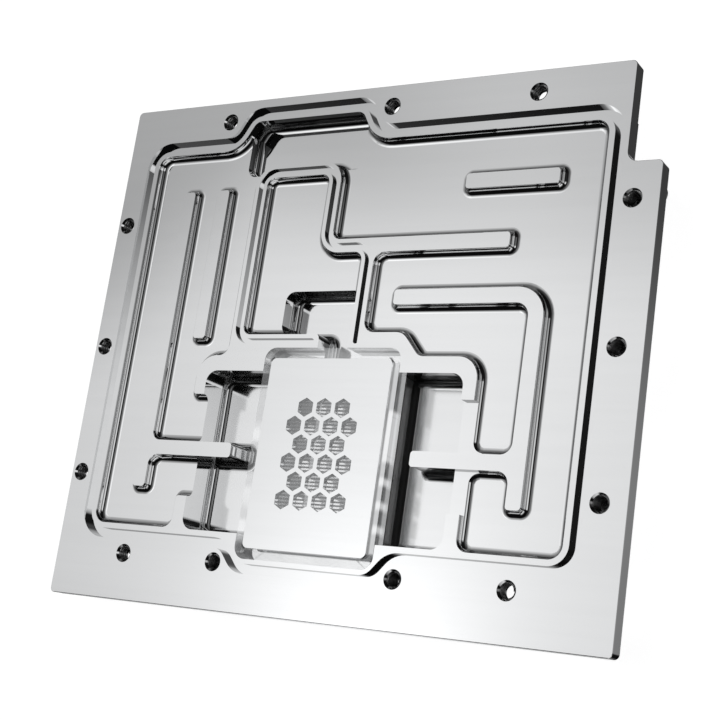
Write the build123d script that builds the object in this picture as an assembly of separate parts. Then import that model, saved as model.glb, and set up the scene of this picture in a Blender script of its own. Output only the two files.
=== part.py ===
from build123d import *
import os

# Core of a full-cover water block for a graphics card: a milled, nickel-plated cold plate with a
# clear flow insert over its fins, a polished inlay on the insert, and standoffs in its back.
# Drawn from the plate's lower left corner, x right, y up, z up out of the milled front face.
# All sizes in millimetres.

# Plate
plate_width = 150.2
plate_height = 129.6
plate_thickness = 3.8
plate_corner_radius = 1.2
edge_break = 0.12
notch_width = 8.3
notch_height = 24.0
notch_fillet = 2.5

# Cooling core, which the pockets, the insert and the lower ribs are centred on
core_offset = 1.55
core_x = plate_width / 2 - core_offset
core_y = 38.15

# Outer seal: a groove for a 2 mm cord, with a lip between groove and channels
seal_groove_width = 2.4
seal_groove_depth = 1.7
seal_lip_width = 1.35
seal_left_margin = 8.9
seal_right_margin = 11.8
seal_top_margin = 12.3
seal_corner_radius = 4.6
bend_outer_radius = 4.0
bend_inner_radius = 6.4

# Bulge of the seal round the port pocket, and round the end of the insert
port_bulge_left_reach = 36.3
port_bulge_right_reach = 1.45
port_bulge_margin = 4.65
port_bulge_run = 4.4
insert_bulge_clearance = 0.95
insert_bulge_run = 4.7
insert_bulge_lip = 1.1

# Channels and ribs
channel_depth = 2.1
floor_radius = 1.75
rib_width = 3.6
rib_end_radius = 0.8
top_channel_width = 10.65
left_rib_share = 0.494
right_rib_share = 0.502
short_rib_share = 0.52
short_rib_gap = 4.45
rib_tail = 8.2
rib_root_radius = 2.3
field_corner_radius = 2.8
top_rib_length = 23.4
long_rib_end_gap = 21.0
hook_share = 0.558
hook_gap = 7.0
hook_bend_radius = 5.0
branch_reach = 24.7

# Inner seal loop, with a shallow groove for a 1.2 mm cord in the middle of its rib
loop_groove_width = 1.35
loop_groove_depth = 0.9
loop_lip_width = 1.0
loop_left_reach = 28.6
loop_right_reach = 5.95
loop_top_drop = 20.2
loop_step_reach = 6.65
loop_step_drop = 40.6
loop_corner_radius = 3.9
loop_gap = 12.3

# Fin field and the two outlet pockets beside it
fin_block_width = 36.6
fin_field_height = 39.4
fin_pitch = 0.86
fin_gap = 0.42
fin_height = 5.0
fin_rim = 1.6
fin_rim_drop = 1.3
outlet_width = 17.3
outlet_depth = 9.0
outlet_corner_radius = 3.0
outlet_floor_radius = 1.75
outlet_wall = 3.2
outlet_top_land = 3.85
outlet_land_radius = 5.2
upper_opening_height = 11.9
lower_opening_height = 9.9
sill_depth = 1.5
feed_land_height = 5.7
feed_land_reach = 20.8
feed_land_run = 4.9

# Feed pocket under the inner loop, and the port pocket under the seal's upper bulge
feed_pocket_width = 21.3
feed_pocket_height = 11.35
feed_pocket_inset = 0.4
feed_pocket_depth = 7.5
feed_passage_width = 8.6
port_pocket_length = 34.6
port_pocket_height = 14.3
port_pocket_inset = 1.1
port_pocket_depth = 5.4
pocket_corner_radius = 2.5

# Clear insert, inlay and their clearances
insert_width = 37.6
insert_height = 50.8
insert_thickness = 3.6
insert_corner_radius = 2.9
insert_clearance = 0.1
inlay_width = 33.7
inlay_height = 45.8
inlay_thickness = 1.4
inlay_corner_radius = 1.4
inlay_clearance = 0.1
plenum_width = 6.0
plenum_depth = 1.3
plenum_end_wall = 9.5
hex_size = 4.0
hex_web = 1.1
hex_columns = 4
hex_rows = 6

# Cover screw holes, tapped M4
thread_bore = 3.3
thread_mouth = 4.5
top_screw_margin = 5.45
top_screw_left_gap = 5.55
top_screw_right_gap = 5.15
top_screw_corner = 31.4
side_screw_top = 32.5
side_screw_bottom = 30.8
left_screw_margin = 3.05
right_screw_margin = 6.15
bottom_screw_height = 11.3
bottom_screw_inner = 24.55
bottom_screw_outer = 52.0
blind_hole_depth = 6.0
screw_boss_diameter = 8.4
screw_boss_height = 3.4

# Back of the plate
back_wall = 1.5
core_base_wall = 1.0
core_base_radius = 5.0
back_corner_radius = 4.0
die_pad_width = 30.0
die_pad_height = 33.0
die_pad_rise = 0.4
die_pad_radius = 2.0
stage_land_width = 14.0
stage_land_top = 27.2
stage_land_rise = 2.2
stage_land_inset = 12.0
edge_land_rise = 0.4
edge_land_width = 20.0
edge_land_top = 13.6

# Standoffs, screwed into bosses on the back
standoff_diameter = 5.5
standoff_length = 5.0
standoff_bore = 2.05
standoff_bore_depth = 3.5
standoff_chamfer = 0.35
stud_diameter = 2.5
stud_length = 2.8
stud_clearance = 0.05
boss_diameter = 6.0
boss_height = 3.4
boss_hole_depth = 3.1
die_standoff_pitch = 64.0
corner_standoff_inset = 3.9
right_standoff_inset = 7.0
upper_standoff_inset = 5.6
upper_standoff_drop = 3.45

# Levels, from the standoffs' free ends up to the milled front face
front_z = plate_thickness + boss_height + standoff_length
back_z = front_z - plate_thickness
boss_face_z = back_z - boss_height
fin_top_z = front_z - insert_thickness
fin_root_z = fin_top_z - fin_height
core_base_z = front_z - outlet_depth - core_base_wall

# Cylinders and cones stand on their foot
standing = (Align.CENTER, Align.CENTER, Align.MIN)

# Places that several features share
seat_width = insert_width + 2 * insert_clearance
seat_height = insert_height + 2 * insert_clearance
seat_top = core_y + seat_height / 2
seat_bottom = core_y - seat_height / 2
bulge_bottom = seat_bottom - insert_bulge_lip
seal_left = seal_left_margin
seal_right = plate_width - seal_right_margin
seal_top = plate_height - seal_top_margin
seal_bottom = core_y - fin_field_height / 2 - seal_lip_width
field_left = seal_left + seal_lip_width
field_right = seal_right - seal_lip_width
field_top = seal_top - seal_lip_width
field_bottom = seal_bottom + seal_lip_width
rib_top = field_top - top_channel_width
rib_foot = core_y - rib_width / 2 - rib_tail
outlet_outer = fin_block_width / 2 + outlet_width
outlet_top = core_y + fin_field_height / 2
land_half = outlet_outer + outlet_wall
land_top = outlet_top + outlet_top_land
feed_land_top = land_top + feed_land_height
left_rib_x = field_left + left_rib_share * (core_x - land_half - field_left)
right_rib_x = field_right - right_rib_share * (field_right - land_half - core_x)
port_bulge_left = core_x - port_bulge_left_reach
port_bulge_right = core_x + port_bulge_right_reach
loop_half = loop_groove_width / 2 + loop_lip_width
loop_left = core_x - loop_left_reach
loop_right = core_x + loop_right_reach
loop_top = plate_height - loop_top_drop
loop_step_x = core_x - loop_step_reach
loop_step_y = plate_height - loop_step_drop
loop_bottom = seat_top + loop_lip_width + loop_groove_width / 2
loop_inner_right = loop_right - loop_half


def outline(points, radii):
    """Closed face through the points, each corner rounded by its radius."""
    return make_face(FilletPolyline(*points, radius=radii, close=True))


def block(left, bottom, right, top, radius=0.0):
    """Rectangle from its corners, with equal corner radii."""
    points = [(left, bottom), (right, bottom), (right, top), (left, top)]
    return outline(points, [radius] * len(points))


def soften(sketch, spots, radius):
    """Round the sketch's corners that lie at the given spots."""
    corners = [sketch.vertices().sort_by_distance((x, y, 0))[0] for x, y in spots]
    return fillet(corners, radius)


def sunk(sketch, depth, bottom_radius=0.0):
    """Milling volume of a sketch, from the front face down to a depth."""
    volumes = []
    for face in sketch.faces():
        volume = extrude(Pos(0, 0, front_z - depth) * face, amount=depth, dir=(0, 0, 1))
        if bottom_radius:
            volume = fillet(volume.edges().group_by(Axis.Z)[0], bottom_radius)
        volumes.append(volume)
    return volumes


def raised(sketch, low_z, high_z):
    """Solid between two levels."""
    return extrude(Pos(0, 0, low_z) * sketch, amount=high_z - low_z, dir=(0, 0, 1))


def plate_outline():
    notch_x = plate_width - notch_width
    notch_y = plate_height - notch_height
    points = [(0, 0), (plate_width, 0), (plate_width, notch_y), (notch_x, notch_y),
              (notch_x, plate_height), (0, plate_height)]
    corner = plate_corner_radius
    return outline(points, [corner, corner, corner, notch_fillet, corner, corner])


def seal_outline():
    """Inner edge of the outer seal groove, with its two bulges."""
    half = seat_width / 2 + insert_bulge_clearance
    low = bulge_bottom
    high = plate_height - port_bulge_margin
    run = insert_bulge_run / 2
    port_run = port_bulge_run / 2
    left_bend = core_x - half
    right_bend = core_x + half
    corners = [
        (seal_left, seal_bottom, seal_corner_radius),
        (left_bend - run, seal_bottom, bend_inner_radius),
        (left_bend + run, low, bend_outer_radius),
        (right_bend - run, low, bend_outer_radius),
        (right_bend + run, seal_bottom, bend_inner_radius),
        (seal_right, seal_bottom, seal_corner_radius),
        (seal_right, seal_top, seal_corner_radius),
        (port_bulge_right + port_run, seal_top, bend_inner_radius),
        (port_bulge_right - port_run, high, bend_outer_radius),
        (port_bulge_left + port_run, high, bend_outer_radius),
        (port_bulge_left - port_run, seal_top, bend_inner_radius),
        (seal_left, seal_top, seal_corner_radius),
    ]
    return outline([(x, y) for x, y, _ in corners], [radius for _, _, radius in corners])


def loop_outline():
    """Centre line of the inner seal loop, as a face."""
    points = [(loop_left, loop_bottom), (loop_right, loop_bottom), (loop_right, loop_step_y),
              (loop_step_x, loop_step_y), (loop_step_x, loop_top), (loop_left, loop_top)]
    return outline(points, [loop_corner_radius] * len(points))


def loop_groove():
    """Shallow groove along the loop, with rounded ends either side of the feed passage."""
    points = [(loop_right - loop_gap, loop_bottom), (loop_left, loop_bottom), (loop_left, loop_top),
              (loop_step_x, loop_top), (loop_step_x, loop_step_y), (loop_right, loop_step_y),
              (loop_right, loop_bottom)]
    path = FilletPolyline(*points, radius=loop_corner_radius)
    return make_face(offset(path, loop_groove_width / 2).edges())


def core_lands():
    """Land round the core pockets and the inner loop, with the long rib that leaves the loop."""
    lip_left = loop_left - loop_half
    lip_right = loop_right + loop_half
    step_right = loop_step_x + loop_half
    step_top = loop_step_y + loop_half
    run = feed_land_run / 2
    bend = core_x + feed_land_reach
    lip_radius = loop_corner_radius + loop_half
    corners = [
        (core_x - land_half, bulge_bottom, 0),
        (core_x + land_half, bulge_bottom, 0),
        (core_x + land_half, land_top, outlet_land_radius),
        (bend + run, land_top, field_corner_radius),
        (bend - run, feed_land_top, bend_outer_radius),
        (lip_right, feed_land_top, field_corner_radius),
        (lip_right, step_top - rib_width, field_corner_radius),
        (field_right - long_rib_end_gap, step_top - rib_width, rib_end_radius),
        (field_right - long_rib_end_gap, step_top, rib_end_radius),
        (step_right, step_top, loop_corner_radius - loop_half),
        (step_right, loop_top + loop_half, lip_radius),
        (lip_left, loop_top + loop_half, lip_radius),
        (lip_left, land_top, field_corner_radius),
        (core_x - land_half, land_top, outlet_land_radius),
    ]
    return outline([(x, y) for x, y, _ in corners], [radius for _, _, radius in corners])


def openings(inner_x, outer_x):
    """The two ways from the channels into an outlet pocket, either side of its branch rib."""
    low, high = sorted((inner_x, outer_x))
    upper = block(low, core_y + rib_width / 2, high, core_y + rib_width / 2 + upper_opening_height)
    lower = block(low, core_y - rib_width / 2 - lower_opening_height, high, core_y - rib_width / 2)
    return upper + lower


def ribs():
    """Flow ribs that stand in the channel field."""
    half = rib_width / 2
    short_x = left_rib_x + short_rib_share * (loop_left - loop_half - left_rib_x)
    left_rib = block(left_rib_x - half, rib_foot, left_rib_x + half, rib_top, rib_end_radius)
    short_rib = block(short_x - half, land_top + short_rib_gap, short_x + half, rib_top, rib_end_radius)
    top_rib = block(right_rib_x + half - top_rib_length, rib_top - rib_width, right_rib_x + half, rib_top,
                    rib_end_radius)
    hook_y = land_top + hook_share * (loop_step_y + loop_half - rib_width - land_top)
    hook_left = loop_right + loop_half + hook_gap
    hook_points = [(hook_left, hook_y - half), (right_rib_x - half, hook_y - half),
                   (right_rib_x - half, rib_foot), (right_rib_x + half, rib_foot),
                   (right_rib_x + half, hook_y + half), (hook_left, hook_y + half)]
    end = rib_end_radius
    hook = outline(hook_points, [end, hook_bend_radius - half, end, end, hook_bend_radius + half, end])
    return left_rib + short_rib + top_rib + hook


def branches():
    """Branch ribs that run from the long ribs into the outlet pockets."""
    low = core_y - rib_width / 2
    high = core_y + rib_width / 2
    left = soften(block(left_rib_x, low, core_x - branch_reach, high),
                  [(core_x - branch_reach, low), (core_x - branch_reach, high)], rib_end_radius)
    right = soften(block(core_x + branch_reach, low, right_rib_x, high),
                   [(core_x + branch_reach, low), (core_x + branch_reach, high)], rib_end_radius)
    return left + right


def channel_field():
    """Plan of the coolant channels: everything inside the seal lip that is neither rib nor land."""
    field = offset(seal_outline(), -seal_lip_width)
    pool = offset(loop_outline(), -loop_half)
    outlet_middle = core_x - outlet_outer + outlet_width / 2
    lands = core_lands() - pool - openings(core_x - land_half, outlet_middle) + ribs() + branches()
    half = rib_width / 2
    plan = field - lands
    plan = soften(plan, [(left_rib_x + half, core_y + half)], rib_root_radius)
    roots = [(left_rib_x + half, core_y - half), (right_rib_x - half, core_y - half),
             (right_rib_x - half, core_y + half), (core_x + land_half, core_y - half),
             (core_x + land_half, core_y + half), (core_x - land_half, field_bottom),
             (core_x + land_half, field_bottom)]
    plan = soften(plan, roots, field_corner_radius)
    leg_ends = [(core_x - land_half, core_y + half + upper_opening_height),
                (core_x - land_half, core_y - half - lower_opening_height)]
    return soften(plan, leg_ends, rib_end_radius)


def outlet_pockets():
    """Deep pockets each side of the fin block, parted by the branch ribs."""
    low = core_y - fin_field_height / 2
    pockets = Sketch()
    for side in (-1, 1):
        inner = core_x + side * fin_block_width / 2
        outer = core_x + side * outlet_outer
        pocket = block(min(inner, outer), low, max(inner, outer), outlet_top)
        pocket = soften(pocket, [(outer, low), (outer, outlet_top)], outlet_corner_radius)
        pockets += pocket
    return pockets - branches()


def feed_pocket():
    """Pocket under the inner loop and its passage to the top of the fin field."""
    low = loop_bottom + loop_half
    left = loop_inner_right - feed_pocket_width
    right = loop_inner_right - feed_pocket_inset
    passage = loop_inner_right - feed_passage_width
    points = [(left, low + feed_pocket_inset), (passage, low + feed_pocket_inset), (passage, outlet_top),
              (right, outlet_top), (right, low + feed_pocket_height), (left, low + feed_pocket_height)]
    corner = pocket_corner_radius
    return outline(points, [corner, floor_radius, floor_radius, floor_radius, floor_radius, corner])


def port_pocket():
    """Pocket under the seal's upper bulge, where the hose terminal feeds in."""
    left = port_bulge_left + port_pocket_inset
    top = plate_height - port_bulge_margin - seal_lip_width
    area = block(left, top - port_pocket_height, left + port_pocket_length, top, pocket_corner_radius)
    return area & (offset(seal_outline(), -seal_lip_width) - offset(loop_outline(), loop_half))


def insert_seat():
    return block(core_x - seat_width / 2, seat_bottom, core_x + seat_width / 2, seat_top,
                 insert_corner_radius + insert_clearance)


def fin_slots():
    """Gaps between the fins, which run from one rim to the other."""
    count = int((fin_field_height - fin_gap) / fin_pitch)
    length = fin_block_width - 2 * fin_rim
    first = core_y - (count - 1) * fin_pitch / 2
    slots = [Pos(core_x, first + i * fin_pitch) * Rectangle(length, fin_gap) for i in range(count)]
    return [raised(slot, fin_root_z, fin_top_z) for slot in slots]


def rim_cuts():
    """The rims that close the fins' ends stand lower than the fins, so coolant spills over them."""
    offset_x = (fin_block_width - fin_rim) / 2
    cuts = []
    for side in (-1, 1):
        rim = Pos(core_x + side * offset_x, core_y) * Rectangle(fin_rim, fin_field_height)
        cuts.append(raised(rim, fin_top_z - fin_rim_drop, fin_top_z))
    return cuts


def side_screw_heights():
    """Cover screws up each side: an outer pair with one half way between."""
    top = plate_height - side_screw_top
    return [side_screw_bottom, (side_screw_bottom + top) / 2, top]


def through_screws():
    """Cover screw places that go right through the flange."""
    row = [port_bulge_left - top_screw_left_gap, port_bulge_right + top_screw_right_gap,
           plate_width - top_screw_corner]
    places = [(x, plate_height - top_screw_margin) for x in row]
    places += [(left_screw_margin, y) for y in side_screw_heights()]
    for side in (-1, 1):
        places.append((core_x + side * bottom_screw_outer, bottom_screw_height))
    return places


def blind_screws():
    """Cover screw places that end in a boss on the back."""
    places = [(core_x + side * bottom_screw_inner, bottom_screw_height) for side in (-1, 1)]
    return places + [(plate_width - right_screw_margin, y) for y in side_screw_heights()]


def screw_hole(place, depth):
    """Tapped hole with a chamfered mouth."""
    mouth_depth = (thread_mouth - thread_bore) / 2
    bore = Pos(*place, front_z - depth) * Cylinder(thread_bore / 2, depth, align=standing)
    mouth = Pos(*place, front_z - mouth_depth) * Cone(thread_bore / 2, thread_mouth / 2, mouth_depth,
                                                      align=standing)
    return bore + mouth


def standoff_places():
    """Four standoffs round the die and one near each corner."""
    half = die_standoff_pitch / 2
    places = [(core_x + i * half, core_y + j * half) for i in (-1, 1) for j in (-1, 1)]
    inset = corner_standoff_inset
    upper = plate_height - notch_height - upper_standoff_drop
    places += [(inset, inset), (inset, plate_height - inset)]
    return places + [(plate_width - right_standoff_inset, inset), (plate_width - upper_standoff_inset, upper)]


def back_lands():
    """Raised lands, pads and bosses on the back of the flange."""
    solids = []
    margin = outlet_wall
    core = block(core_x - land_half, core_y - fin_field_height / 2 - back_wall,
                 core_x + land_half, outlet_top + margin, core_base_radius)
    solids.append(raised(core, core_base_z, back_z))
    pad = block(core_x - die_pad_width / 2, core_y - die_pad_height / 2,
                core_x + die_pad_width / 2, core_y + die_pad_height / 2, die_pad_radius)
    solids.append(raised(pad, core_base_z - die_pad_rise, core_base_z))
    feed = block(loop_inner_right - feed_pocket_width - margin, outlet_top,
                 loop_inner_right + margin, loop_bottom + loop_half + feed_pocket_height + margin,
                 back_corner_radius)
    solids.append(raised(feed, front_z - feed_pocket_depth - back_wall, back_z))
    port_left = port_bulge_left + port_pocket_inset
    port_top = plate_height - port_bulge_margin - seal_lip_width
    port = block(port_left - margin, port_top - port_pocket_height - margin,
                 port_left + port_pocket_length + margin, port_top + back_wall, back_corner_radius)
    solids.append(raised(port, front_z - port_pocket_depth - back_wall, back_z))
    stage_low = core_y - fin_field_height / 2
    for left in (stage_land_inset, plate_width - notch_width - stage_land_inset - stage_land_width / 2):
        stage = block(left, stage_low, left + stage_land_width, plate_height - stage_land_top,
                      die_pad_radius)
        solids.append(raised(stage, back_z - stage_land_rise, back_z))
    edge_right = plate_width - notch_width
    edge_land = block(edge_right - edge_land_width, stage_low, edge_right, plate_height - edge_land_top)
    solids.append(raised(edge_land, back_z - edge_land_rise, back_z))
    for place in blind_screws():
        solids.append(raised(Pos(*place) * Circle(screw_boss_diameter / 2), back_z - screw_boss_height,
                             back_z))
    for place in standoff_places():
        solids.append(raised(Pos(*place) * Circle(boss_diameter / 2), boss_face_z, back_z))
    return solids


def cold_plate():
    slab = raised(plate_outline(), back_z, front_z)
    slab = chamfer(slab.edges().group_by(Axis.Z)[-1], edge_break)
    body = slab + back_lands()
    cuts = sunk(offset(seal_outline(), seal_groove_width) - seal_outline(), seal_groove_depth)
    cuts += sunk(channel_field(), channel_depth, floor_radius)
    cuts += sunk(loop_groove(), loop_groove_depth)
    cuts += sunk(insert_seat(), insert_thickness)
    cuts += sunk(outlet_pockets(), outlet_depth, outlet_floor_radius)
    sill_end = core_x + land_half + field_corner_radius
    cuts += sunk(openings(core_x + outlet_outer - rib_end_radius, sill_end), sill_depth)
    cuts += sunk(feed_pocket(), feed_pocket_depth, floor_radius)
    cuts += sunk(port_pocket(), port_pocket_depth, floor_radius)
    cuts += fin_slots()
    cuts += rim_cuts()
    cuts += [screw_hole(place, plate_thickness) for place in through_screws()]
    cuts += [screw_hole(place, blind_hole_depth) for place in blind_screws()]
    hole_radius = stud_diameter / 2 + stud_clearance
    cuts += [Pos(*place, boss_face_z) * Cylinder(hole_radius, boss_hole_depth, align=standing)
             for place in standoff_places()]
    return body - cuts


def flow_insert():
    """Clear plate over the fins, with a pocket for the inlay and a plenum down its underside."""
    blank = block(core_x - insert_width / 2, core_y - insert_height / 2,
                  core_x + insert_width / 2, core_y + insert_height / 2, insert_corner_radius)
    pocket = block(core_x - inlay_width / 2 - inlay_clearance, core_y - inlay_height / 2 - inlay_clearance,
                   core_x + inlay_width / 2 + inlay_clearance, core_y + inlay_height / 2 + inlay_clearance,
                   inlay_corner_radius + inlay_clearance)
    plenum = block(core_x - plenum_width / 2, core_y - insert_height / 2 + plenum_end_wall,
                   core_x + plenum_width / 2, seat_top - outlet_top_land / 2, plenum_width / 4)
    body = raised(blank, fin_top_z, front_z)
    body -= raised(pocket, front_z - inlay_thickness, front_z)
    return body - raised(plenum, fin_top_z, fin_top_z + plenum_depth)


def inlay_plate():
    """Polished plate with a honeycomb of through holes, in staggered rows."""
    face = block(core_x - inlay_width / 2, core_y - inlay_height / 2,
                 core_x + inlay_width / 2, core_y + inlay_height / 2, inlay_corner_radius)
    pitch = hex_size + hex_web
    row_pitch = pitch * 3 ** 0.5 / 2
    hexagon = RegularPolygon(hex_size / 2, 6, major_radius=False, rotation=30)
    for row in range(hex_rows):
        columns = hex_columns - row % 2
        y = core_y + (row - (hex_rows - 1) / 2) * row_pitch
        for column in range(columns):
            x = core_x + (column - (columns - 1) / 2) * pitch
            face -= Pos(x, y) * hexagon
    return raised(face, front_z - inlay_thickness, front_z)


def standoff(place):
    """Turned standoff: stud into the boss, round body, tapped bore in its free end."""
    radius = standoff_diameter / 2
    body = Cylinder(radius, standoff_length, align=standing)
    body = chamfer(body.edges().group_by(Axis.Z)[0], standoff_chamfer)
    stud = Pos(0, 0, standoff_length) * Cylinder(stud_diameter / 2, stud_length, align=standing)
    bore = Cylinder(standoff_bore / 2, standoff_bore_depth, align=standing)
    return Pos(*place) * (body + stud - bore)


nodes = {
    "cold_plate": [cold_plate()],
    "flow_insert": [flow_insert()],
    "inlay_plate": [inlay_plate()],
    "standoffs": [standoff(place) for place in standoff_places()],
}
os.makedirs("parts", exist_ok=True)
centred = Pos(-plate_width / 2, -plate_height / 2, 0)
for name, pieces in nodes.items():
    solids = [centred * solid for piece in pieces for solid in piece.solids()]
    export_step(Compound(solids), f"parts/{name}.step")
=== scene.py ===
import bpy
import math
from mathutils import Matrix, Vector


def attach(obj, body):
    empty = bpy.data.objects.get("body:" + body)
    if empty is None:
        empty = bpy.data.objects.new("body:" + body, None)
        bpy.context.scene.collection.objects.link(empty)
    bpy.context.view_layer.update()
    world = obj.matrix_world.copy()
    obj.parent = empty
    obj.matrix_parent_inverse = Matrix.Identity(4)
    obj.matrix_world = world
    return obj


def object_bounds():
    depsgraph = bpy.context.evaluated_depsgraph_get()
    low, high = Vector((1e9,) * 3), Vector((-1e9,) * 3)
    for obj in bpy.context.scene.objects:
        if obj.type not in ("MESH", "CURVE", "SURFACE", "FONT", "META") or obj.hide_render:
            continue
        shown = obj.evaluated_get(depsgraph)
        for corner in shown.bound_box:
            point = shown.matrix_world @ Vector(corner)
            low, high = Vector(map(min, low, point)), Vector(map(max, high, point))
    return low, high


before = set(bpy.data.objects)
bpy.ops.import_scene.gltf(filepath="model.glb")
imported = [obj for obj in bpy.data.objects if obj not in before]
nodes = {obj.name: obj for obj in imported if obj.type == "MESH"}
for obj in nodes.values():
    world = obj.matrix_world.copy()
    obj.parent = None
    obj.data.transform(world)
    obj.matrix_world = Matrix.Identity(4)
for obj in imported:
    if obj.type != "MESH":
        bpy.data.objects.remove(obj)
cad_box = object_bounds()

# Camera: the photograph's place, direction, roll and focal length
CAMERA_PLACE = (0.18326, -0.07814, 0.28844)
CAMERA_RIGHT = (0.85055, 0.14267, -0.50616)
CAMERA_UP = (-0.00573, 0.96496, 0.26235)
CAMERA_BACK = (0.52586, -0.22024, 0.82157)
FOCAL_MM = 72.718
SENSOR_MM = 36.0
CLIP_START = 0.005

# Light over direction: x points right, y up the plate, z straight up, and the lean is the angle from
# straight up towards the right, in radians. A ramp has its start, its end and its value at each, or 0
# and 1 where none is given. In a group of ramps, each begins with its axis.
PANEL_STRENGTH = 0.98
PANEL_ACROSS = (("x", -1.0, -0.28, 0.48, 1.0), ("x", -0.50, -0.32, 1.0, 0.81), ("x", -1.02, -0.68, 0.25, 1.0))
PANEL_CORNER_SLOPE = -1.02
PANEL_CORNER_START = -0.59
PANEL_EDGE = (0.25, 0.375)
PANEL_EDGE_DROP = (-0.54, -0.40, 0.43, 0.28)
PANEL_TOP_FADE = (0.33, 0.9, 1.0, 0.2)
PANEL_LOW_FADES = (("y", -0.10, 0.06, 0.42, 1.0), ("y", -0.42, -0.15))
PANEL_END_FADES = (("lean", -0.37, -0.07, 1.0, 0.2), ("lean", 0.07, 0.38, 1.0, 0.05))
SPOT_PLACE = (-0.52, -0.07)
SPOT_SPREAD = (0.075, 0.16)
SPOT_STRENGTH = 0.72
SIDE_STRENGTH = 0.78
SIDE_PANEL = (("lean", 0.576, 0.654), ("lean", 0.80, 1.0, 1.0, 0.25), ("y", 0.37, 0.14), ("y", -0.12, 0.0))
HORIZON_STRENGTH = 0.65
HORIZON = (("lean", 1.12, 1.5), ("lean", 1.571, 1.64, 1.0, 0.0), ("y", -0.3, 0.0), ("y", 0.45, 0.7, 1.0, 0.0))
BELOW_STRENGTH = 0.034
BELOW = (("z", 0.0, -0.3), ("y", 0.1, 0.35))
FRONT_STRENGTH = 0.72
FRONT_PANEL = (("y", -0.42, -0.66), ("x", -0.3, 0.1), ("z", -0.02, 0.05), ("z", 0.25, 0.6, 1.0, 0.0))
DARK_LEVEL = 0.003
LIGHT_COLOR = (0.994, 1.0, 1.007, 1)

# Floor
FLOOR_HALF = 12.0
FLOOR_COLOR = (0.92, 0.92, 0.92, 1)
FLOOR_ROUGHNESS = 0.9
FLOOR_GLOW = 0.9

# Plate sizes in mm, as in the part's source, from the plate's lower left corner
MM = 0.001
PLATE_WIDTH = 150.2
PLATE_HEIGHT = 129.6
CORE_X = 73.55
CORE_Y = 38.15
FIN_HALF_WIDTH = 18.3
FIN_HALF_HEIGHT = 19.7
FIN_TOP = 3.6
INSERT_HALF_WIDTH = 18.8
INLAY_HALF_WIDTH = 16.85
INLAY_HALF_HEIGHT = 22.9

# Nickel: levels are mm below the front, reaches are mm back from the fin block's right side, facings
# are parts of the normal, and tones are base colours. The steep, fin end and flank tones are painted
# shade.
NICKEL_TONE = 0.9
NICKEL_TINT = (0.998, 1.0, 1.002)
HAZE = (0.022, 0.04)
MASK_EDGE = 0.1
DEEP_LEVEL = (6.5, 7.0)
DEEP_ROUGHNESS = 0.09
POCKET_LEVEL = (8.5, 8.8)
POCKET_ROUGHNESS = (0.12, 0.15)
POCKET_SPLIT = 2.0
FIN_TOP_LEVEL = (FIN_TOP - 0.4, FIN_TOP - 0.2)
FIN_TOP_ROUGHNESS = 0.12
FIN_SLOT_LEVEL = (FIN_TOP + 0.1, FIN_TOP + 0.3)
FIN_SLOT_ROUGHNESS = 0.4
FIN_END_REACH = (2.6, 2.2)
FIN_END_SHADE_TONE = 0.08
STEEP_LEVEL = (2.3, 2.8)
STEEP_FACING = (-0.3, -0.5)
STEEP_ROUGHNESS = 0.2
STEEP_SHADE_TONE = 0.16
FLANK_LEVEL = (FIN_TOP, FIN_TOP + 0.4)
FLANK_REACH = (0.5, -1.9)
FLANK_FACING = (0.03, 0.2)
FLANK_ROUGHNESS = 0.45
FLANK_SHADE_TONES = (0.93, 0.99, 0.06, 0.58)

# Acrylic: milk is how solid it looks, glow is painted light in the place of refraction; reaches are mm
# in from its right edge
ACRYLIC_TINT = (1.0, 1.01, 1.02)
ACRYLIC_GLOW_COLOR = (0.98, 0.99, 1.0, 1)
ACRYLIC_ROUGHNESS = 0.08
ACRYLIC_IOR = 1.49
RIM_CORNER = 1.5
RIM_SHADE = (0.9, 0.3)
CORNER_START = (0.1, 0.9)
MILK = (0.10, 0.2)
GLOW = (0.25, 0.85)
LOW_RIM_GLOW = 0.6
LOW_RIM_FADE = 2.0
UNDER_INLAY = (0.2, -0.1)
UNDER_MILK, UNDER_GLOW = 0.2, 0.46
SHADE_MILK, SHADE_GLOW, SHADE_TONE = 0.85, 0.0, 0.1
EDGE_REACH = (1.9, 1.6)
EDGE_MILK, EDGE_GLOW, EDGE_TONE = 0.82, 0.12, 0.42
CLEAR_TONE = 0.93
FACING_EDGE = (0.5, 0.9)
STRIP_REACH = (1.4, 0.9)
STRIP_GLOW = (0.62, 0.95)
PADS = (21.8, 27.2, 32.6, 38.0, 48.0)
PAD_HALF = 0.9
PAD_SOFTNESS = 0.7
PAD_DEPTH = (3.8, 1.6)
WALL_MILK = (0.42, 0.7)
WALL_GLOW = (0.05, 0.66)
UNDERSIDE_MILK = 0.04

# Inlay and standoffs
INLAY_TONE = 0.915
INLAY_TINT = (0.997, 1.0, 1.003)
INLAY_EDGE_BREAK = 0.12
RING_SCALE = 900.0

# Cover screw threads, M4, in mm. A ridge's start and the half widths of its foot and its crest are in
# pitches, and its fade at each end is in turns.
THREAD_PITCH = 0.7
THREAD_BORE = 1.65
THREAD_CREST = 1.46
THREAD_BITE = 0.01
THREAD_STEPS = 40
THREAD_START = 0.55
THREAD_FADE = 0.5
THREAD_FOOT_HALF = 0.42
THREAD_CREST_HALF = 0.04
THROUGH_DEPTH = 3.7
BLIND_DEPTH = 5.4
SIDE_HEIGHTS = (30.8, 63.95, 97.1)
THROUGH_SCREWS = ([(x, PLATE_HEIGHT - 5.45) for x in (31.7, 80.15, 118.8)]
                  + [(3.05, y) for y in SIDE_HEIGHTS] + [(CORE_X + s * 52.0, 11.3) for s in (-1, 1)])
BLIND_SCREWS = ([(PLATE_WIDTH - 6.15, y) for y in SIDE_HEIGHTS]
                + [(CORE_X + s * 24.55, 11.3) for s in (-1, 1)])

plate_left = cad_box[0][0]
plate_bottom = cad_box[0][1]
front = cad_box[1][2]


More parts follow.
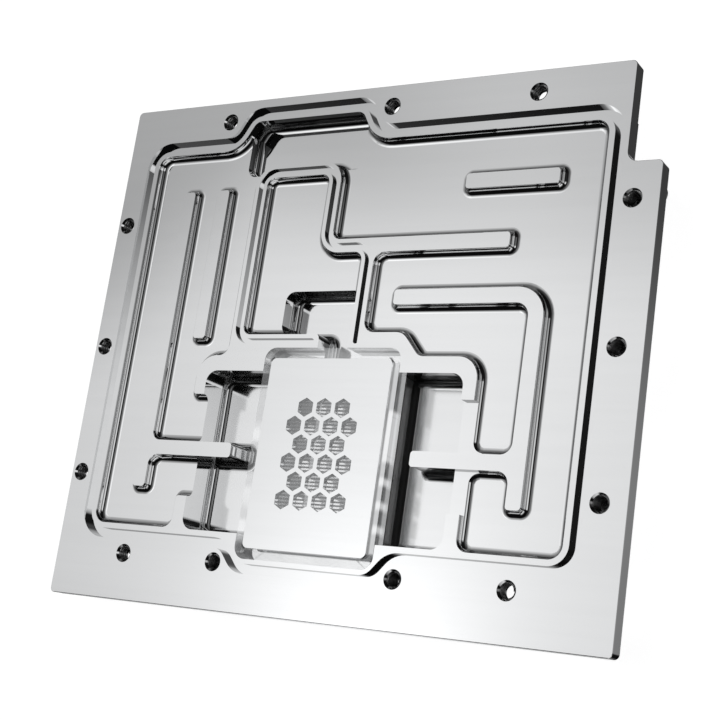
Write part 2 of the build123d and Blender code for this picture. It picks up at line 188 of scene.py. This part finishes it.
def place(x, y, depth=0.0):
    """Scene place of a point of the plate, in mm from its lower left corner and below its front."""
    return (plate_left + x * MM, plate_bottom + y * MM, front - depth * MM)


def back_from(edge, distances):
    """The places that lie the distances, in mm, back from an edge."""
    return [edge - distance * MM for distance in distances]


def add_camera():
    data = bpy.data.cameras.new("camera")
    data.lens = FOCAL_MM
    data.sensor_width = SENSOR_MM
    data.clip_start = CLIP_START
    camera = bpy.data.objects.new("camera", data)
    bpy.context.scene.collection.objects.link(camera)
    rows = [(CAMERA_RIGHT[i], CAMERA_UP[i], CAMERA_BACK[i], CAMERA_PLACE[i]) for i in range(3)]
    camera.matrix_world = Matrix(rows + [(0, 0, 0, 1)])
    bpy.context.scene.camera = camera


class Graph:
    """Small helper that adds and links shader nodes."""

    def __init__(self, tree):
        self.tree = tree
        tree.nodes.clear()

    def add(self, kind, inputs=None, **settings):
        node = self.tree.nodes.new(kind)
        for key, value in settings.items():
            setattr(node, key, value)
        for key, value in (inputs or {}).items():
            if isinstance(value, bpy.types.NodeSocket):
                self.tree.links.new(value, node.inputs[key])
            else:
                node.inputs[key].default_value = value
        return node

    def math(self, operation, a, b=0.0, c=0.0):
        return self.add("ShaderNodeMath", {0: a, 1: b, 2: c}, operation=operation).outputs[0]

    def product(self, *factors):
        result = factors[0]
        for factor in factors[1:]:
            result = self.math("MULTIPLY", result, factor)
        return result

    def sum(self, *terms):
        result = terms[0]
        for term in terms[1:]:
            result = self.math("ADD", result, term)
        return result

    def ramp(self, value, low, high, at_low=0.0, at_high=1.0):
        node = self.add("ShaderNodeMapRange", {"Value": value, "From Min": low, "From Max": high,
                                               "To Min": at_low, "To Max": at_high})
        node.interpolation_type = "SMOOTHSTEP"
        return node.outputs["Result"]


class Sky(Graph):
    """Shader graph of the light over direction."""

    def __init__(self, tree):
        super().__init__(tree)
        direction = self.add("ShaderNodeTexCoord").outputs["Generated"]
        split = self.add("ShaderNodeSeparateXYZ", {0: direction}).outputs
        self.axes = {"x": split[0], "y": split[1], "z": split[2]}
        self.axes["lean"] = self.math("ARCTAN2", split[0], split[2])

    def patch(self, ramps, strength=1.0):
        """Light that the ramps fade along their axes."""
        return self.product(*(self.ramp(self.axes[axis], *limits) for axis, *limits in ramps), strength)

    def spot(self):
        """Round glow that falls off smoothly from its middle."""
        away = [self.product(self.sum(self.axes[axis], -middle), 1.0 / spread)
                for axis, middle, spread in zip("xy", SPOT_PLACE, SPOT_SPREAD)]
        square = self.sum(*(self.product(part, part) for part in away))
        return self.product(self.math("EXPONENT", self.product(square, -1.0)), SPOT_STRENGTH)


def studio_light():
    """Soft studio light: a broad overhead panel with a hot middle, whose upper edge and far left fall
    off to grey, a pale panel on the right, a bright horizon beyond it, a low panel in front for the
    views from behind, faint light from below, and nearly black elsewhere."""
    world = bpy.data.worlds.new("studio")
    bpy.context.scene.world = world
    world.use_nodes = True
    g = Sky(world.node_tree)
    x, y = g.axes["x"], g.axes["y"]
    corner = g.math("MAXIMUM", g.math("MULTIPLY_ADD", x, PANEL_CORNER_SLOPE, PANEL_CORNER_START), 0.0)
    edge = g.product(g.ramp(g.sum(y, corner), *PANEL_EDGE), g.ramp(x, *PANEL_EDGE_DROP))
    panel = g.product(g.patch(PANEL_ACROSS), g.math("SUBTRACT", 1.0, edge), g.ramp(y, *PANEL_TOP_FADE),
                      PANEL_STRENGTH)
    panel = g.product(g.sum(panel, g.spot()), g.patch(PANEL_LOW_FADES + PANEL_END_FADES))
    strength = g.sum(panel, g.patch(SIDE_PANEL, SIDE_STRENGTH), g.patch(HORIZON, HORIZON_STRENGTH),
                     g.patch(BELOW, BELOW_STRENGTH), g.patch(FRONT_PANEL, FRONT_STRENGTH), DARK_LEVEL)
    background = g.add("ShaderNodeBackground", {"Color": LIGHT_COLOR, "Strength": strength})
    g.add("ShaderNodeOutputWorld", {"Surface": background.outputs[0]})


def add_floor():
    """Plain pale floor, which the metal doesn't mirror."""
    mesh = bpy.data.meshes.new("floor")
    corners = [(sx * FLOOR_HALF, sy * FLOOR_HALF, 0) for sx, sy in ((-1, -1), (1, -1), (1, 1), (-1, 1))]
    mesh.from_pydata(corners, [], [(0, 1, 2, 3)])
    floor = bpy.data.objects.new("floor", mesh)
    bpy.context.scene.collection.objects.link(floor)
    material = bpy.data.materials.new("floor")
    material.use_nodes = True
    g = Graph(material.node_tree)
    shader = g.add("ShaderNodeBsdfPrincipled", {"Base Color": FLOOR_COLOR, "Roughness": FLOOR_ROUGHNESS,
                                                "Emission Color": (1, 1, 1, 1),
                                                "Emission Strength": FLOOR_GLOW})
    g.add("ShaderNodeOutputMaterial", {"Surface": shader.outputs[0]})
    mesh.materials.append(material)
    floor.visible_glossy = False


class Surface(Graph):
    """Shader graph of one material, with the place and the facing of the shaded point."""

    def __init__(self, name):
        self.material = bpy.data.materials.new(name)
        self.material.use_nodes = True
        super().__init__(self.material.node_tree)
        self.point = self.add("ShaderNodeTexCoord").outputs["Object"]
        split = self.add("ShaderNodeSeparateXYZ", {0: self.point}).outputs
        self.x, self.y, self.z = split[0], split[1], split[2]
        normal = self.add("ShaderNodeNewGeometry").outputs["Normal"]
        facing = self.add("ShaderNodeSeparateXYZ", {0: normal}).outputs
        self.side, self.back, self.up = facing[0], facing[1], facing[2]

    def inside(self, value, low, high, edge):
        """One between low and high, zero outside, softened over the edge width."""
        return self.math("MULTIPLY", self.ramp(value, low - edge, low + edge),
                         self.ramp(value, high - edge, high + edge, 1.0, 0.0))

    def beyond(self, value, middle, half):
        """How far the value lies from the middle beyond the half width, or zero."""
        away = self.math("ABSOLUTE", self.math("SUBTRACT", value, middle))
        return self.math("MAXIMUM", self.math("SUBTRACT", away, half), 0.0)

    def noise(self, scale, stretch=(1.0, 1.0, 1.0), detail=3.0):
        scaled = self.add("ShaderNodeVectorMath", {0: self.point, 1: stretch}, operation="MULTIPLY")
        inputs = {"Vector": scaled.outputs[0], "Scale": scale, "Detail": detail}
        return self.add("ShaderNodeTexNoise", inputs).outputs[0]

    def mix(self, share, a, b):
        node = self.add("ShaderNodeMix", data_type="FLOAT")
        for socket, value in zip((node.inputs[0], node.inputs[2], node.inputs[3]), (share, a, b)):
            if isinstance(value, bpy.types.NodeSocket):
                self.tree.links.new(value, socket)
            else:
                socket.default_value = value
        return node.outputs[0]

    def grey(self, value, tint=(1.0, 1.0, 1.0)):
        return self.add("ShaderNodeCombineXYZ", {i: self.math("MULTIPLY", value, tint[i])
                                                 for i in range(3)}).outputs[0]

    def finish(self, **inputs):
        sockets = {key.replace("_", " "): value for key, value in inputs.items()}
        shader = self.add("ShaderNodeBsdfPrincipled", sockets)
        self.add("ShaderNodeOutputMaterial", {"Surface": shader.outputs[0]})
        return self.material


def plated_copper():
    """Mirror nickel: polished faces, duller floors in the deep pockets, matt between the fins. The deep
    walls that face down the plate, the fin ends and the fin block's right flank, darkest at its foot,
    have painted shade: a darker base colour set by place and facing."""
    g = Surface("nickel_plating")
    left, right = (plate_left + (CORE_X + s * FIN_HALF_WIDTH) * MM for s in (-1, 1))
    lower, upper = (plate_bottom + (CORE_Y + s * FIN_HALF_HEIGHT) * MM for s in (-1, 1))
    level = g.math("MULTIPLY", g.math("SUBTRACT", front, g.z), 1 / MM)
    flat = g.ramp(g.up, 0.9, 0.99)
    beside = g.inside(g.y, lower, upper, MASK_EDGE * MM)
    core = g.product(g.inside(g.x, left, right, MASK_EDGE * MM), beside)
    fins = g.product(core, g.ramp(level, *FIN_TOP_LEVEL))
    # Painted shade: a darker base colour on the fin ends near the block's right side.
    ends = g.product(fins, g.ramp(g.x, *back_from(right, FIN_END_REACH)))
    # Deep walls that face down the plate: rougher, with painted shade in their base colour.
    steep = g.product(g.ramp(level, *STEEP_LEVEL), g.ramp(g.back, *STEEP_FACING))
    # The fin block's right flank: rougher, with painted shade in its base colour, darkest at its foot.
    near, far = back_from(right, FLANK_REACH)
    flank = g.product(g.ramp(level, *FLANK_LEVEL), g.inside(g.x, near, far, MASK_EDGE * MM), beside,
                      g.ramp(g.side, *FLANK_FACING))

    rough = g.ramp(g.noise(70.0), 0.35, 0.7, *HAZE)
    rough = g.mix(g.product(g.ramp(level, *DEEP_LEVEL), flat), rough, DEEP_ROUGHNESS)
    pocket = g.ramp(g.x, -POCKET_SPLIT * MM, POCKET_SPLIT * MM, *POCKET_ROUGHNESS)
    rough = g.mix(g.product(g.ramp(level, *POCKET_LEVEL), flat), rough, pocket)
    rough = g.mix(fins, rough, FIN_TOP_ROUGHNESS)
    rough = g.mix(g.product(core, g.ramp(level, *FIN_SLOT_LEVEL)), rough, FIN_SLOT_ROUGHNESS)
    rough = g.mix(steep, rough, STEEP_ROUGHNESS)
    rough = g.mix(flank, rough, FLANK_ROUGHNESS)

    # Painted shade: a darker base colour on the steep walls, the fin ends and the right flank.
    tone_and_shade = g.mix(steep, NICKEL_TONE, STEEP_SHADE_TONE)
    tone_and_shade = g.mix(ends, tone_and_shade, FIN_END_SHADE_TONE)
    tone_and_shade = g.mix(flank, tone_and_shade, g.ramp(g.side, *FLANK_SHADE_TONES))
    streaks = g.ramp(g.noise(420.0, (0.03, 1.0, 1.0)), 0.3, 0.75, 1.0, 0.982)
    color = g.grey(g.math("MULTIPLY", streaks, tone_and_shade), NICKEL_TINT)
    return g.finish(Base_Color=color, Metallic=1.0, Roughness=rough)


def lit_pads(g):
    """Painted highlights where light gathers along the insert's right edge: at each pad, and between
    the last two.
    """
    spots = [plate_bottom + pad * MM for pad in PADS]
    pads = g.inside(g.y, spots[-2], spots[-1], PAD_HALF * MM)
    for spot in spots:
        pad = g.inside(g.y, spot - PAD_HALF * MM, spot + PAD_HALF * MM, PAD_SOFTNESS * MM)
        pads = g.math("MAXIMUM", pads, pad)
    return pads


def clear_acrylic():
    """Clear acrylic with machined faces: painted shade in the corners of its pocket, painted light at the
    right edge. It is a nearly see-through surface with a painted glow of its own, in the place of
    refraction."""
    g = Surface("clear_acrylic")
    middle_x, middle_y, _ = place(CORE_X, CORE_Y)
    over_x = g.beyond(g.x, middle_x, (INLAY_HALF_WIDTH - RIM_CORNER) * MM)
    over_y = g.beyond(g.y, middle_y, (INLAY_HALF_HEIGHT - RIM_CORNER) * MM)
    reach = g.math("SQRT", g.sum(g.product(over_x, over_x), g.product(over_y, over_y)))
    reach = g.math("SUBTRACT", g.math("MULTIPLY", reach, 1 / MM), RIM_CORNER)
    corner = g.ramp(g.math("MINIMUM", over_x, over_y), *(start * MM for start in CORNER_START))
    # Painted shade: dark, nearly solid acrylic in the corners of the inlay's pocket.
    shade = g.product(corner, g.ramp(reach, *RIM_SHADE))
    # Inside the inlay's outline: more see-through, with a painted glow.
    under = g.ramp(reach, *UNDER_INLAY)

    right = plate_left + (CORE_X + INSERT_HALF_WIDTH) * MM
    edge = g.product(g.ramp(g.x, *back_from(right, EDGE_REACH)),
                     g.math("SUBTRACT", 1.0, corner))
    # The right edge's side wall and top strip carry painted light, brightest at the pads.
    wall = g.product(edge, g.ramp(g.side, *FACING_EDGE))
    strip = g.product(edge, g.ramp(g.x, *back_from(right, STRIP_REACH)),
                      g.ramp(g.up, *FACING_EDGE))
    # Painted highlights: the pads, and where they reach down the side wall.
    pads = lit_pads(g)
    lit = g.math("MULTIPLY", g.ramp(g.z, *back_from(front, PAD_DEPTH)), pads)

    milk = g.ramp(g.noise(90.0, (1.0, 0.25, 1.0)), 0.3, 0.75, *MILK)
    milk = g.mix(under, milk, UNDER_MILK)
    milk = g.mix(shade, milk, SHADE_MILK)
    milk = g.mix(edge, milk, g.mix(wall, EDGE_MILK, g.mix(lit, *WALL_MILK)))
    milk = g.mix(g.ramp(g.up, *(-facing for facing in FACING_EDGE)), milk, UNDERSIDE_MILK)

    low_rim = plate_bottom + (CORE_Y - INLAY_HALF_HEIGHT) * MM
    # Painted glow in the place of refraction: streaky over the whole insert, fainter at the lower rim,
    # stronger under the inlay, none in the shaded corners, and painted light along the right edge.
    glow = g.ramp(g.noise(150.0, (0.1, 1.0, 0.1), 1.0), 0.5, 0.62, *GLOW)
    glow = g.math("MULTIPLY", glow, g.ramp(g.y, low_rim, low_rim + LOW_RIM_FADE * MM, LOW_RIM_GLOW, 1.0))
    glow = g.mix(under, glow, UNDER_GLOW)
    glow = g.mix(shade, glow, SHADE_GLOW)
    glow = g.mix(edge, glow, EDGE_GLOW)
    glow = g.mix(strip, glow, g.mix(pads, *STRIP_GLOW))
    glow = g.mix(wall, glow, g.mix(lit, *WALL_GLOW))

    # Base colour: painted shade in the pocket's corners, grey along the right edge.
    tone_and_shade = g.mix(shade, g.mix(edge, CLEAR_TONE, EDGE_TONE), SHADE_TONE)
    return g.finish(Base_Color=g.grey(tone_and_shade, ACRYLIC_TINT), Roughness=ACRYLIC_ROUGHNESS, IOR=ACRYLIC_IOR,
                    Alpha=milk, Emission_Color=ACRYLIC_GLOW_COLOR, Emission_Strength=glow)


def polished_inlay():
    """Mirror nickel with fine lines from polishing."""
    g = Surface("polished_inlay")
    brush = g.ramp(g.noise(600.0, (0.04, 1.0, 1.0)), 0.3, 0.75, 1.0, 0.985)
    rough = g.ramp(g.noise(80.0), 0.35, 0.7, 0.015, 0.03)
    color = g.grey(g.math("MULTIPLY", brush, INLAY_TONE), INLAY_TINT)
    return g.finish(Base_Color=color, Metallic=1.0, Roughness=rough)


def turned_nickel():
    """Turned standoffs: fine rings along the height."""
    g = Surface("turned_nickel")
    wave = g.add("ShaderNodeTexWave", {"Vector": g.point, "Scale": RING_SCALE}, bands_direction="Z")
    rough = g.ramp(wave.outputs[1], 0.0, 1.0, 0.10, 0.2)
    color = g.grey(g.ramp(g.noise(200.0), 0.3, 0.7, 0.76, 0.84))
    return g.finish(Base_Color=color, Metallic=1.0, Roughness=rough)


def cut_thread():
    """Duller metal of the cut threads, whose darker base colour is painted shade in the screw holes."""
    g = Surface("cut_thread")
    # Painted shade: the dark base colour darkens the inside of the screw holes.
    color = g.grey(g.ramp(g.noise(900.0), 0.3, 0.7, 0.25, 0.5))
    return g.finish(Base_Color=color, Metallic=1.0, Roughness=0.28)


def thread(name, spots, depth, material):
    """Helical ridges in the screw holes at the spots, as one mesh, with two flanks and a crest each."""
    across = 4  # points over a ridge: foot, crest, crest, foot
    verts, faces = [], []
    turns = (depth - THREAD_PITCH) / THREAD_PITCH
    count = int(turns * THREAD_STEPS)
    root = THREAD_BORE + THREAD_BITE
    for x, y in spots:
        cx, cy, top = place(x, y)
        start = len(verts)
        for i in range(count + 1):
            angle = math.tau * i / THREAD_STEPS
            drop = THREAD_PITCH * (THREAD_START + i / THREAD_STEPS)
            fade = min(1.0, i / (THREAD_FADE * THREAD_STEPS), (count - i) / (THREAD_FADE * THREAD_STEPS))
            crest = root - (THREAD_BORE - THREAD_CREST) * fade
            for radius, shift in ((root, -THREAD_FOOT_HALF), (crest, -THREAD_CREST_HALF),
                                  (crest, THREAD_CREST_HALF), (root, THREAD_FOOT_HALF)):
                verts.append((cx + radius * MM * math.cos(angle), cy + radius * MM * math.sin(angle),
                              top - (drop + shift * THREAD_PITCH) * MM))
        for i in range(count):
            for k in range(across - 1):
                a = start + across * i + k
                faces.append((a, a + 1, a + 1 + across, a + across))
    mesh = bpy.data.meshes.new(name)
    mesh.from_pydata(verts, [], faces)
    mesh.materials.append(material)
    piece = bpy.data.objects.new(name, mesh)
    bpy.context.scene.collection.objects.link(piece)
    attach(piece, "root")


def round_edges(name, width):
    """Breaks a node's sharp edges by a width in mm, after closing the seams between its faces."""
    weld = nodes[name].modifiers.new("closed_seams", "WELD")
    weld.merge_threshold = 1e-6
    bevel = nodes[name].modifiers.new("broken_edges", "BEVEL")
    bevel.width = width * MM
    bevel.segments = 2
    bevel.limit_method = "ANGLE"
    bevel.angle_limit = math.radians(40)
    bevel.harden_normals = True


def dress(name, material):
    """Gives a CAD node its material."""
    mesh = nodes[name].data
    mesh.materials.clear()
    mesh.materials.append(material)


add_camera()
studio_light()
add_floor()
dress("cold_plate", plated_copper())
dress("flow_insert", clear_acrylic())
dress("inlay_plate", polished_inlay())
dress("standoffs", turned_nickel())
round_edges("inlay_plate", INLAY_EDGE_BREAK)
thread_metal = cut_thread()
thread("through_threads", THROUGH_SCREWS, THROUGH_DEPTH, thread_metal)
thread("blind_threads", BLIND_SCREWS, BLIND_DEPTH, thread_metal)
bpy.context.scene.view_settings.view_transform = "Standard"
